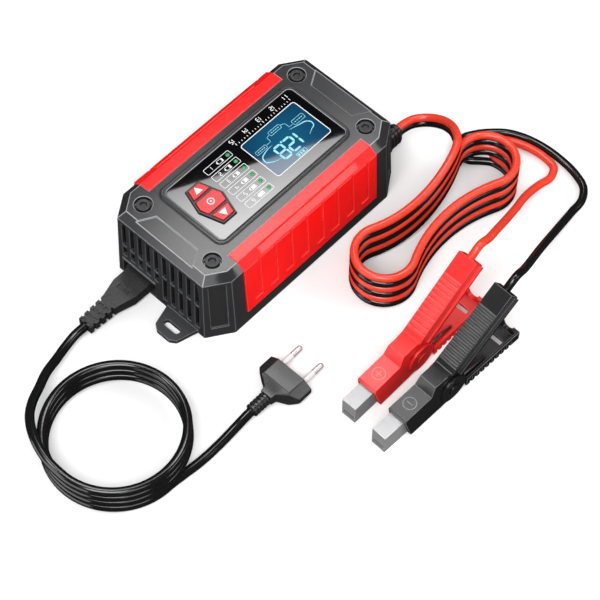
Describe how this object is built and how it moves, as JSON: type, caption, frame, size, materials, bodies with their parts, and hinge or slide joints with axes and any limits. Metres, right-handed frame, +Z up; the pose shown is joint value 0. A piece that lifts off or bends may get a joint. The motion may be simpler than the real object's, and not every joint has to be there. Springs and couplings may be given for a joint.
{
  "type": "car battery charger",
  "caption": "Mains car battery charger with a display, keys and side grips, a flat-plug mains cord set and two output leads ending in spring clamps.",
  "frame": {"origin": "middle of the housing's outline at its underside, where it rests on the bench", "axes": "+Z up through the panel, +X from the mains inlet's end to the output leads' end, the clamps lie towards -Y"},
  "size_m": [0.4077, 0.2384, 0.0679],
  "materials": {
    "shell_black": "fine satin texture",
    "cover_grey": "satin",
    "grip_red": "soft sheen",
    "panel_black": "high gloss",
    "lcd_blue": "lit display",
    "light_green": "clear lens",
    "board_green": "solder mask",
    "steel": "plated",
    "brass": "nickel plated",
    "core_steel": "varnished laminations",
    "copper": "enamelled wire",
    "capacitor_sleeve": "shrink sleeve",
    "aluminium": "extruded",
    "epoxy_black": "moulded",
    "fuse_glass": "clear tube with metal caps",
    "wire_mixed": "one red and one black wire",
    "ribbon_grey": "flat cable",
    "cord_black": "soft satin jacket",
    "lead_red": "soft satin jacket",
    "clamp_black": "satin",
    "sleeve_grey": "satin"
  },
  "bodies": {
    "root": {"base_shell": "shell_black", "top_cover": "cover_grey", "front_grip": "grip_red", "rear_grip": "grip_red", "display_panel": "panel_black", "key_bezel": "shell_black", "case_screws": "steel", "output_gland": "cord_black", "lcd_module": "lcd_blue", "status_lights": "light_green", "display_board": "board_green", "tact_switches": "steel", "ribbon_cable": "ribbon_grey", "main_board": "board_green", "board_screws": "steel", "transformer_core": "core_steel", "transformer_winding": "copper", "capacitors": "capacitor_sleeve", "heat_sink": "aluminium", "power_transistors": "epoxy_black", "fuse": "fuse_glass", "choke_coil": "copper", "inlet_socket": "epoxy_black", "inlet_pins": "brass", "fan_frame": "epoxy_black", "output_terminal": "board_green", "output_wires": "wire_mixed", "red_lead_start": "lead_red", "red_lead_hank": "lead_red", "red_lead_end": "lead_red", "black_lead_start": "cord_black", "black_lead_hank": "cord_black", "black_lead_end": "cord_black", "red_rivet": "steel", "red_spring": "steel", "red_lower_handle": "grip_red", "red_lower_jaw": "steel", "black_rivet": "steel", "black_spring": "steel", "black_lower_handle": "clamp_black", "black_lower_jaw": "steel"},
    "up_key": {"up_key": "grip_red"},
    "enter_key": {"enter_key": "grip_red"},
    "down_key": {"down_key": "grip_red"},
    "fan": {"fan_rotor": "epoxy_black"},
    "mains_set": {"mains_connector": "cord_black", "mains_cord_start": "cord_black", "mains_cord_coil": "cord_black", "mains_cord_end": "cord_black", "plug_relief": "cord_black", "plug_body": "cord_black", "plug_pins": "brass", "plug_sleeves": "sleeve_grey"},
    "red_clamp_top": {"red_upper_handle": "grip_red", "red_upper_jaw": "steel"},
    "black_clamp_top": {"black_upper_handle": "clamp_black", "black_upper_jaw": "steel"}
  },
  "joints": [
    {"name": "up_key_press", "type": "slide", "parent": "root", "child": "up_key", "axis": [0, 0, -1], "range_m": [0, 0.0006], "stiffness_N_per_m": 400},
    {"name": "enter_key_press", "type": "slide", "parent": "root", "child": "enter_key", "axis": [0, 0, -1], "range_m": [0, 0.0006], "stiffness_N_per_m": 400},
    {"name": "down_key_press", "type": "slide", "parent": "root", "child": "down_key", "axis": [0, 0, -1], "range_m": [0, 0.0006], "stiffness_N_per_m": 400},
    {"name": "fan_spin", "type": "hinge", "parent": "root", "child": "fan", "pos_m": [0.076, 0, 0.027], "axis": [1, 0, 0], "continuous": true},
    {"name": "mains_set_pull", "type": "slide", "parent": "root", "child": "mains_set", "axis": [-1, 0, 0], "range_m": [0, 0.02]},
    {"name": "red_clamp_open", "type": "hinge", "parent": "root", "child": "red_clamp_top", "pos_m": [-0.01, -0.146, 0.0115], "axis": [0, 1, 0], "range_deg": [0, 25], "stiffness_Nm_per_rad": 1.6, "springref_deg": -20.05, "deforming": ["red_spring", "red_lead_end"]},
    {"name": "black_clamp_open", "type": "hinge", "parent": "root", "child": "black_clamp_top", "pos_m": [-0.0126, -0.1755, 0.0115], "axis": [0.0349, 0.9994, 0], "range_deg": [0, 25], "stiffness_Nm_per_rad": 1.6, "springref_deg": -20.05, "deforming": ["black_spring", "black_lead_end"]}
  ]
}
